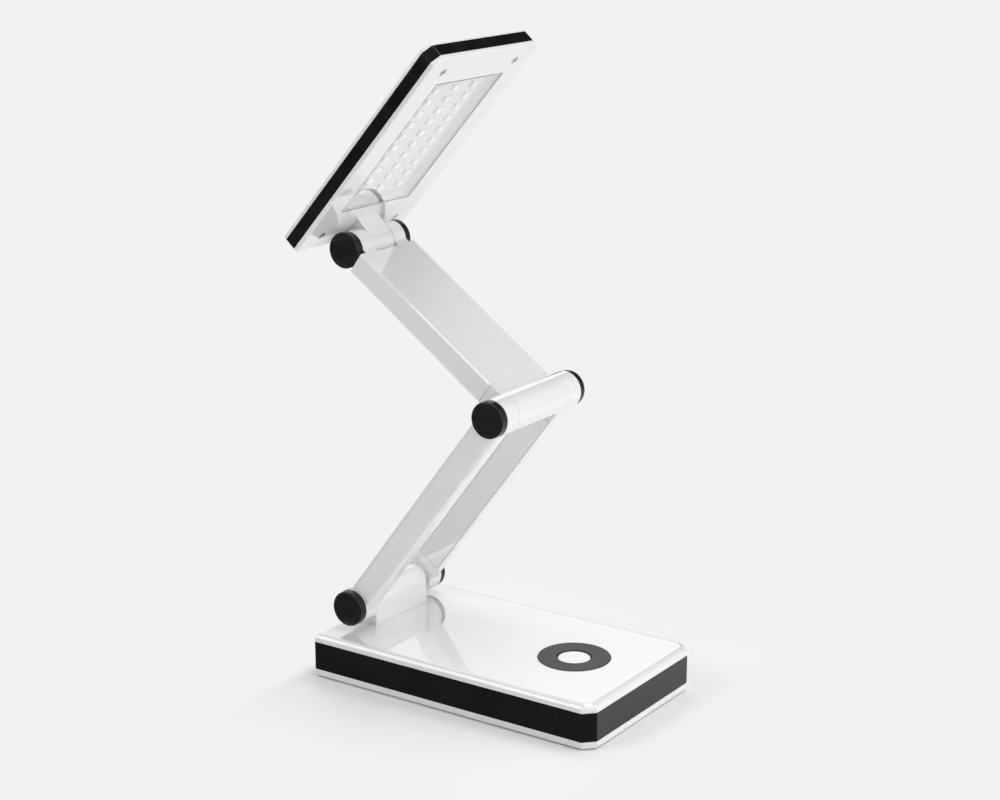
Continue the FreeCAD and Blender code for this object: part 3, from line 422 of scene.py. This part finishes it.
# puts a finished bmesh into the scene as a piece that stands for a node, in its slot's finish unless
# other coats are given
def addPiece(name, bm, node, *coats):
    mesh = bpy.data.meshes.new(name)
    bm.to_mesh(mesh)
    bm.free()
    mesh.shade_smooth()
    mesh.set_sharp_from_angle(angle=smoothAngle)
    for material in coats or [finishes[slots[node]]]:
        mesh.materials.append(material)
    piece = bpy.data.objects.new(name, mesh)
    bpy.context.scene.collection.objects.link(piece)
    weigh = piece.modifiers.new("flatFaces", "WEIGHTED_NORMAL")
    weigh.keep_sharp = True
    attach(piece, bodyOf(node))
    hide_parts(node)


# corners of a node's separate solids, in its body's lying-flat frame and sorted by place
def solidBoxes(node):
    bm = bmesh.new()
    bm.from_mesh(frame["nodes"][node].data)
    bmesh.ops.remove_doubles(bm, verts=bm.verts, dist=weldDistance)
    bm.transform(places[bodyOf(node)].inverted())
    waiting = set(bm.verts)
    boxes = []
    while waiting:
        front = [waiting.pop()]
        found = []
        while front:
            vertex = front.pop()
            found.append(vertex.co.copy())
            near = [link.other_vert(vertex) for link in vertex.link_edges]
            fresh = [other for other in near if other in waiting]
            waiting.difference_update(fresh)
            front += fresh
        boxes.append(cornersOf(found))
    bm.free()
    return sorted(boxes, key=lambda box: [round(value / mm) for value in box[0]])


# a profile of (radius, height, round) corners as points, each corner with a round made as an arc
def eased(corners, steps=6):
    points = []
    for index, (radius, height, ease) in enumerate(corners):
        here = Vector((radius, height))
        if not ease:
            points.append(here)
            continue
        back = (Vector(corners[index - 1][:2]) - here).normalized()
        ahead = (Vector(corners[index + 1][:2]) - here).normalized()
        half = back.angle(ahead) / 2
        centre = here + (back + ahead).normalized() * ease / math.sin(half)
        first = here + back * ease / math.tan(half) - centre
        last = here + ahead * ease / math.tan(half) - centre
        sweep = first.angle(last)
        for step in range(steps + 1):
            turn = sweep * step / steps
            points.append(centre + (first * math.sin(sweep - turn) + last * math.sin(turn)) / math.sin(sweep))
    return points


# a profile in mm swept round z
def lathe(points, steps):
    bm = bmesh.new()
    verts = [bm.verts.new((radius * mm, 0, height * mm)) for radius, height in points]
    edges = [bm.edges.new(pair) for pair in zip(verts, verts[1:])]
    bmesh.ops.spin(
        bm, geom=verts + edges, cent=(0, 0, 0), axis=(0, 0, 1), angle=math.tau, steps=steps,
        use_merge=True,
    )
    bmesh.ops.remove_doubles(bm, verts=bm.verts, dist=weldDistance)
    bmesh.ops.recalc_face_normals(bm, faces=bm.faces)
    return bm


# adds one finished bmesh to another
def gather(whole, bm):
    shape = bpy.data.meshes.new("gathered")
    bm.to_mesh(shape)
    bm.free()
    whole.from_mesh(shape)
    bpy.data.meshes.remove(shape)


# a block between two corners
def block(low, high):
    bm = bmesh.new()
    bmesh.ops.create_cube(bm, size=1.0)
    bm.transform(Matrix.Translation((low + high) / 2) @ Matrix.Diagonal((*(high - low), 1.0)))
    return bm


# breaks edges or corners by an offset in mm
def bevel(bm, geom, offset, segments, affect="EDGES"):
    bmesh.ops.bevel(
        bm, geom=geom, offset=offset * mm, offset_type="OFFSET", segments=segments, profile=0.5,
        affect=affect, clamp_overlap=True, material=-1,
    )


# hinge caps: a rounded rim round a face sunk a hair below it, and a hollow spigot behind. Lengths in
# this form and the ones below are in mm
capForm = {
    "thickness": 4.9, "rimRound": 0.8, "rimWidth": 1.5, "faceDrop": 0.18, "faceRound": 0.1, "backEdge": 0.25,
    "spigotWall": 1.4, "spigotRadius": 7.15, "steps": 128,
}
capBlack = capBlackFinish()


def hingeCap(node):
    low, high = flatBox(node)
    radius = (high.x - low.x) / 2 / mm
    drop = (high.y - low.y) / mm - capForm["thickness"]
    top = capForm["thickness"]
    face = top - capForm["faceDrop"]
    spigot = capForm["spigotRadius"]
    hollow = spigot - capForm["spigotWall"]
    rim = radius - capForm["rimWidth"]
    bm = lathe(eased([
        (0, 0, 0), (hollow, 0, 0), (hollow, -drop, 0), (spigot, -drop, 0), (spigot, 0, 0),
        (radius, 0, capForm["backEdge"]), (radius, top, capForm["rimRound"]),
        (rim, top, capForm["faceRound"]), (rim - capForm["faceDrop"], face, capForm["faceRound"]),
        (0, face, 0),
    ]), capForm["steps"])
    front = node.endswith("front")
    seat = high.y - drop * mm if front else low.y + drop * mm
    turn = Matrix.Rotation(math.radians(90 if front else -90), 4, "X")
    middle = Matrix.Translation(((low.x + high.x) / 2, seat, (low.z + high.z) / 2))
    bm.transform(places[bodyOf(node)] @ middle @ turn)
    addPiece(node + "_turned", bm, node, capBlack)


for hinge in hinges:
    hingeCap(hinge + "_cap_front")
    hingeCap(hinge + "_cap_rear")
print("hinge caps turned")


# friction washers: thin nylon rings that all but fill the joints between the knuckles
washerForm = {
    "radius": {"base_hinge": 10.7, "elbow": 10.7, "head_hinge": 10.15},
    "bore": 2.1, "edge": 0.05, "edgeSteps": 2, "steps": 96,
}


def hingeWashers(hinge):
    node = hinge + "_washers"
    radius = washerForm["radius"][hinge]
    bore, edge = washerForm["bore"], washerForm["edge"]
    whole = bmesh.new()
    for low, high in solidBoxes(node):
        thick = (high.y - low.y) / mm
        profile = [(bore, 0, 0), (radius, 0, edge), (radius, thick, edge), (bore, thick, 0), (bore, 0, 0)]
        bm = lathe(eased(profile, washerForm["edgeSteps"]), washerForm["steps"])
        middle = Matrix.Translation(((low.x + high.x) / 2, low.y, (low.z + high.z) / 2))
        bm.transform(middle @ Matrix.Rotation(math.radians(-90), 4, "X"))
        gather(whole, bm)
    whole.transform(places[bodyOf(node)])
    addPiece(node + "_turned", whole, node)


for hinge in hinges:
    hingeWashers(hinge)
print("washers turned")


# disc round the switch, with its collar, and the button in its bore
ringForm = {
    "bore": 10.0, "radius": 20.8, "collar": 12.0, "drop": 6.5, "innerRound": 0.45, "outerRound": 0.35,
    "steps": 160,
}
buttonForm = {
    "radius": 9.55, "lip": 11.15, "lipHeight": 1.5, "lipRound": 0.2, "round": 0.75, "crown": 0.12,
    "steps": 128,
}


def onBase(node, bm):
    low, high = flatBox(node)
    bm.transform(Matrix.Translation(((low.x + high.x) / 2, (low.y + high.y) / 2, low.z)))
    addPiece(node + "_turned", bm, node)


def heightOf(node):
    low, high = flatBox(node)
    return (high.z - low.z) / mm


ringTop = heightOf("switch_ring")
onBase("switch_ring", lathe(eased([
    (ringForm["bore"], 0, 0), (ringForm["collar"], 0, 0), (ringForm["collar"], ringForm["drop"], 0),
    (ringForm["radius"], ringForm["drop"], 0), (ringForm["radius"], ringTop, ringForm["outerRound"]),
    (ringForm["bore"], ringTop, ringForm["innerRound"]), (ringForm["bore"], 0, 0),
]), ringForm["steps"]))
buttonTop = heightOf("power_button")
onBase("power_button", lathe(eased([
    (0, 0, 0), (buttonForm["lip"], 0, buttonForm["lipRound"]),
    (buttonForm["lip"], buttonForm["lipHeight"], buttonForm["lipRound"]),
    (buttonForm["radius"], buttonForm["lipHeight"], 0),
    (buttonForm["radius"], buttonTop - buttonForm["crown"], buttonForm["round"]), (0, buttonTop, 0),
]), buttonForm["steps"]))
print("switch turned")


# screws with a cross recess; outward is the side of the body's frame that the head faces
thinScrew = {"head": 2.3, "shank": 1.25, "crossHalf": 0.32, "crossReach": 1.25, "depth": 0.8}
stoutScrew = {"head": 2.8, "headHeight": 1.8, "shank": 1.5, "crossHalf": 0.4, "crossReach": 1.6, "depth": 1.3}
screwForms = {
    "head_screws": {**thinScrew, "headHeight": 1.05, "outward": -1},
    "upper_arm_screws": {**thinScrew, "headHeight": 1.1, "outward": 1},
    "base_screws": {**stoutScrew, "outward": -1},
    "block_screws": {**stoutScrew, "outward": -1},
}
screwCut = {
    "rimWidth": 0.3, "rimDrop": 0.25, "rimRound": 0.2, "rimSteps": 3, "point": 0.8, "taper": 0.6, "steps": 40,
    "firstTurn": 0.35, "nextTurn": 1.9,
}


def crossScrew(form, length):
    head, under, shank = form["head"], -form["headHeight"], form["shank"]
    bm = lathe(eased([
        (head - screwCut["rimWidth"], 0, 0), (head, -screwCut["rimDrop"], screwCut["rimRound"]),
        (head, under, 0), (shank, under, 0), (shank, -length + screwCut["point"], 0), (0, -length, 0),
    ], screwCut["rimSteps"]), screwCut["steps"])
    ring = [edge for edge in bm.edges if edge.is_boundary]
    wide, long = form["crossHalf"], form["crossReach"]
    corners = [(wide, wide), (long, wide), (long, -wide), (wide, -wide), (wide, -long), (-wide, -long)]
    corners += [(-x, -y) for x, y in corners]
    taper = screwCut["taper"]
    upper = [bm.verts.new((x * mm, y * mm, 0)) for x, y in corners]
    lower = [bm.verts.new((x * taper * mm, y * taper * mm, -form["depth"] * mm)) for x, y in corners]
    count = len(corners)
    outline = [bm.edges.new((upper[index], upper[(index + 1) % count])) for index in range(count)]
    bmesh.ops.triangle_fill(bm, edges=ring + outline, use_beauty=True)
    for index in range(count):
        after = (index + 1) % count
        bm.faces.new((upper[index], upper[after], lower[after], lower[index]))
    bm.faces.new(lower)
    bmesh.ops.recalc_face_normals(bm, faces=bm.faces)
    return bm


def driveScrews(node, form):
    whole = bmesh.new()
    for index, (low, high) in enumerate(solidBoxes(node)):
        bm = crossScrew(form, (high.z - low.z) / mm)
        top = high.z if form["outward"] > 0 else low.z
        flip = Matrix.Rotation(0 if form["outward"] > 0 else math.pi, 4, "X")
        turn = Matrix.Rotation(screwCut["firstTurn"] + screwCut["nextTurn"] * index, 4, "Z")
        bm.transform(Matrix.Translation(((low.x + high.x) / 2, (low.y + high.y) / 2, top)) @ flip @ turn)
        gather(whole, bm)
    whole.transform(places[bodyOf(node)])
    addPiece(node + "_cut", whole, node)


for screwNode, screwForm in screwForms.items():
    driveScrews(screwNode, screwForm)
print("screws cut:", len(screwForms))


# LED chips: a white moulded body with tinned terminals at two sides and a window of gel that bulges a little
chipForm = {
    "edge": 0.2, "edgeSteps": 2, "rim": 0.45, "windowRound": 1.9, "windowSteps": 5, "well": 0.12,
    "gelRim": 0.5, "gelRise": 0.12, "terminal": 0.7,
}
chipCoats = {"gel": 0, "body": 1, "tin": 2}
facingAway = 0.9  # how much of a normal lies along an axis for its face to count as facing that way


# turns the square window into one with nearly round corners
def roundWindow(bm, window):
    middle = window.calc_center_median()
    bevel(bm, list(window.verts), chipForm["windowRound"], chipForm["windowSteps"], "VERTICES")
    return min(bm.faces, key=lambda face: (face.calc_center_median() - middle).length)


def chipShape(low, high):
    bm = block(low, high)
    for face in bm.faces:
        face.material_index = chipCoats["body"]
    window = min(bm.faces, key=lambda face: face.calc_center_median().z)
    bmesh.ops.inset_individual(bm, faces=[window], thickness=chipForm["rim"] * mm)
    window = roundWindow(bm, window)
    well = chipForm["well"] * mm
    bmesh.ops.inset_individual(bm, faces=[window], thickness=well, depth=-well)
    window.material_index = chipCoats["gel"]
    rim = {"thickness": chipForm["gelRim"] * mm, "depth": chipForm["gelRise"] * mm}
    for face in bmesh.ops.inset_individual(bm, faces=[window], **rim)["faces"]:
        face.material_index = chipCoats["gel"]
    half = (high.z - low.z) / 2
    uprights = [edge for edge in bm.edges if abs(edge.verts[0].co.z - edge.verts[1].co.z) > half]
    bevel(bm, uprights, chipForm["edge"], chipForm["edgeSteps"])
    bmesh.ops.recalc_face_normals(bm, faces=bm.faces)
    level = high.z - chipForm["terminal"] * mm
    bmesh.ops.bisect_plane(
        bm, geom=bm.verts[:] + bm.edges[:] + bm.faces[:], dist=weldDistance,
        plane_co=(0, 0, level), plane_no=(0, 0, 1),
    )
    for face in bm.faces:
        if abs(face.normal.y) > facingAway and face.calc_center_median().z > level:
            face.material_index = chipCoats["tin"]
    return bm


def ledChips():
    whole = bmesh.new()
    for low, high in solidBoxes("led_chips"):
        gather(whole, chipShape(low, high))
    whole.transform(places["head"])
    coats = finishes["led_phosphor"], chipBodyFinish(), finishes["steel"]
    addPiece("led_chips_moulded", whole, "led_chips", *coats)


# clear pane: a sheet with sawn sides coloured grey as painted shade, and a fine polished edge
paneForm = {"shy": 0.45, "frontEdge": 0.15, "backEdge": 0.5}
paneCoats = {"clear": 0, "sawnShade": 1}
edgeOn = 0.1  # a face whose normal has less than this along z is one of the sheet's sides


def clearPane():
    low, high = flatBox("lens_pane")
    shy = Vector((paneForm["shy"], paneForm["shy"], 0)) * mm
    bm = block(low + shy, high - shy)
    for level, size in ((low.z, "frontEdge"), (high.z, "backEdge")):
        rim = [edge for edge in bm.edges if all(abs(end.co.z - level) < weldDistance for end in edge.verts)]
        bevel(bm, rim, paneForm[size], 1)
    for face in bm.faces:
        # the sheet's sides take the grey of painted shade, the faces the clear coat
        face.material_index = paneCoats["sawnShade" if abs(face.normal.z) < edgeOn else "clear"]
    bm.transform(places["head"])
    addPiece("lens_pane_cut", bm, "lens_pane", finishes["clear_pane"], sawnEdgeShadeFinish())


ledChips()
clearPane()
print("lights made")


# shells and frames: the node's own form, welded, with its open outer edges broken as a mould leaves them
shellEdges = {
    "base_bottom_plate": 0.3, "base_band": 0.35, "base_top_shell": 0.3, "hinge_block": 0.3,
    "front_rail_shell": 0.25, "rear_rail_shell": 0.25, "front_rail_cover": 0.15, "rear_rail_cover": 0.15,
    "upper_arm_shell": 0.15, "upper_arm_cover": 0.2, "head_back_cover": 0.3, "head_band": 0.3,
    "head_front_frame": 0.25, "hinge_tab": 0.3, "light_tray": 0.5, "led_board": 0.15, "foot_pad": 0.3,
    "charge_socket": 0.2,
}
shellCoats = {"light_tray": [trayWhiteFinish()]}
shellCut = {
    "edgeSteps": 2, "sharpAngle": math.radians(35), "flatAngle": math.radians(0.4),
    "barrelReach": 11.2 * mm, "probe": 0.02 * mm,
}


# edges round a hinge meet their neighbours closely, so they stay crisp
def atHinge(point):
    reach = shellCut["barrelReach"]
    return any(math.hypot(point.x - pin.x, point.z - pin.z) < reach for pin in hinges.values())


# sharp outer edges with nothing of the same shell in front of them
def openEdges(bm):
    tree = BVHTree.FromBMesh(bm)
    found = []
    for edge in bm.edges:
        if len(edge.link_faces) != 2 or not edge.is_convex or edge.calc_face_angle() < shellCut["sharpAngle"]:
            continue
        out = (edge.link_faces[0].normal + edge.link_faces[1].normal).normalized()
        middle = (edge.verts[0].co + edge.verts[1].co) / 2
        if atHinge(middle):
            continue
        if tree.ray_cast(middle + out * shellCut["probe"], out)[0] is None:
            found.append(edge)
    return found


def dressShell(node, edge):
    bm = bmesh.new()
    bm.from_mesh(frame["nodes"][node].data)
    bmesh.ops.remove_doubles(bm, verts=bm.verts, dist=weldDistance)
    bmesh.ops.dissolve_limit(bm, angle_limit=shellCut["flatAngle"], verts=bm.verts, edges=bm.edges)
    bevel(bm, openEdges(bm), edge, shellCut["edgeSteps"])
    bmesh.ops.triangulate(bm, faces=[face for face in bm.faces if len(face.verts) > 4])
    bmesh.ops.dissolve_degenerate(bm, dist=weldDistance, edges=bm.edges)
    addPiece(node + "_skin", bm, node, *shellCoats.get(node, []))


for shellName, shellEdge in shellEdges.items():
    dressShell(shellName, shellEdge)
print("shells dressed:", len(shellEdges))


# CAD nodes that keep their own mesh take the finish of their slot
for node, thing in frame["nodes"].items():
    thing.data.materials.clear()
    thing.data.materials.append(finishes[slots[node]])


# studio: pale paper that the camera sees evenly, lit by a bright room on some sides and soft boxes
studio = {
    "floorSize": 12.0, "floorCells": 4, "paper": 0.885,
    # half the base's length and width; distances past its ends count for more, so the shadow is short there
    "footprint": (0.095, 0.055), "reachLeft": 7.0, "reachRight": 4.0, "clearFrom": 0.02, "clearTo": 0.11,
    # how bright the paper in front stays in the lamp's gloss, and where that begins
    "shade": 0.12, "shadeFrom": 0.03, "shadeTo": 0.06,
}
room = {"right": 1.3, "left": 0.3, "up": 0.1}


# rays from the camera, straight or through the pane
def seenRays(place):
    rays = place.node("LightPath").socket.node.outputs
    return Wire(rays["Is Camera Ray"]) + Wire(rays["Is Transmission Ray"])


# the paper near the lamp takes its shadow; further out it is even. In the lamp's own gloss the paper
# on the dim side of the room is darker
def floorFinish():
    material, shader, place = newFinish("paperFloor", Roughness=0.9)
    paper = studio["paper"]
    split = place.node("SeparateXYZ", {}, {0: place}).socket.node
    along = Wire(split.outputs["X"])
    front = -1.0 * Wire(split.outputs["Y"])
    glossy = place.node("LightPath", output="Is Glossy Ray")
    dim = glossy * front.between(studio["shadeFrom"], studio["shadeTo"])
    plug(shader.inputs["Base Color"], dim.mix(grey(paper), grey(paper * studio["shade"])))
    halfLength, halfWidth = studio["footprint"]
    left = place.math("MAXIMUM", -1.0 * along - halfLength, 0.0) * studio["reachLeft"]
    right = place.math("MAXIMUM", along - halfLength, 0.0) * studio["reachRight"]
    aside = place.math("MAXIMUM", place.math("ABSOLUTE", front) - halfWidth, 0.0)
    away = place.math("SQRT", left * left + right * right + aside * aside)
    far = away.between(studio["clearFrom"], studio["clearTo"])
    flat = place.node("Emission", {}, {"Color": grey(paper), "Strength": 1.0})
    mixSurface(material, seenRays(place) * far, shader, flat)
    return material


def layFloor():
    bm = bmesh.new()
    cells = studio["floorCells"]
    bmesh.ops.create_grid(bm, x_segments=cells, y_segments=cells, size=studio["floorSize"] / 2)
    mesh = bpy.data.meshes.new("paperFloor")
    bm.to_mesh(mesh)
    bm.free()
    mesh.materials.append(floorFinish())
    floor = bpy.data.objects.new("paperFloor", mesh)
    bpy.context.scene.collection.objects.link(floor)


# how bright the room is on each side; past the lamp and through its pane the camera sees plain paper
def makeSky():
    world = bpy.data.worlds.new("studioSky")
    bpy.context.scene.world = world
    world.use_nodes = True
    tree = world.node_tree
    shade = tree.nodes["Background"]
    shade.inputs["Color"].default_value = grey(1.0)
    toward = Wire(tree.nodes.new("ShaderNodeTexCoord").outputs["Generated"])
    split = toward.node("SeparateXYZ", {}, {0: toward}).socket.node
    level = 0.0
    for side, axis, sign in (("right", "X", 1), ("left", "X", -1), ("up", "Z", 1)):
        facing = toward.math("MAXIMUM", Wire(split.outputs[axis]) * sign, 0.0)
        level = facing * facing * room[side] + level
    seen = seenRays(toward)
    plug(shade.inputs["Strength"], seen * studio["paper"] + (1.0 - seen) * level)


# soft boxes, each square and turned to the lamp
lamps = {
    "topBox": {"at": (0.1, 0.3, 1.9), "size": 1.4, "watts": 18.5},
    "frontLeftBox": {"at": (-1.0, -1.2, 0.9), "size": 1.2, "watts": 10.5},
    "frontLowBox": {"at": (-0.4, -1.6, 0.3), "size": 1.0, "watts": 2.4},
    "rightBox": {"at": (1.5, -0.2, 0.35), "size": 1.0, "watts": 2.6},
    "rightHighBox": {"at": (1.4, 0.1, 1.0), "size": 1.2, "watts": 8.0},
    "leftRearBox": {"at": (-1.1, 1.1, 1.0), "size": 1.2, "watts": 4.8},
}
lampTarget = Vector((0, 0, 0.15))


def hangLamps():
    for name, lamp in lamps.items():
        light = bpy.data.lights.new(name, "AREA")
        light.size = lamp["size"]
        light.energy = lamp["watts"]
        item = bpy.data.objects.new(name, light)
        item.location = lamp["at"]
        item.rotation_mode = "QUATERNION"
        item.rotation_quaternion = (lampTarget - Vector(lamp["at"])).to_track_quat("-Z", "Y")
        bpy.context.scene.collection.objects.link(item)


# where the camera stands in metres, and how it is turned in degrees
cameraView = {
    "eye": (0.65484, -0.95844, 0.49320), "yaw": 34.407, "pitch": 15.55, "roll": -0.07, "lens": 77.28,
}


def placeCamera():
    data = bpy.data.cameras.new("camera")
    data.sensor_fit = "HORIZONTAL"
    data.lens = cameraView["lens"]
    yaw, pitch, roll = (math.radians(cameraView[key]) for key in ("yaw", "pitch", "roll"))
    level = math.cos(pitch)
    ahead = Vector((-math.sin(yaw) * level, math.cos(yaw) * level, -math.sin(pitch)))
    camera = bpy.data.objects.new("camera", data)
    camera.location = cameraView["eye"]
    camera.rotation_mode = "QUATERNION"
    camera.rotation_quaternion = ahead.to_track_quat("-Z", "Y") @ Quaternion((0, 0, 1), roll)
    bpy.context.scene.collection.objects.link(camera)
    bpy.context.scene.camera = camera


layFloor()
makeSky()
hangLamps()
placeCamera()
bpy.context.scene.view_settings.view_transform = "Standard"
print("studio set")
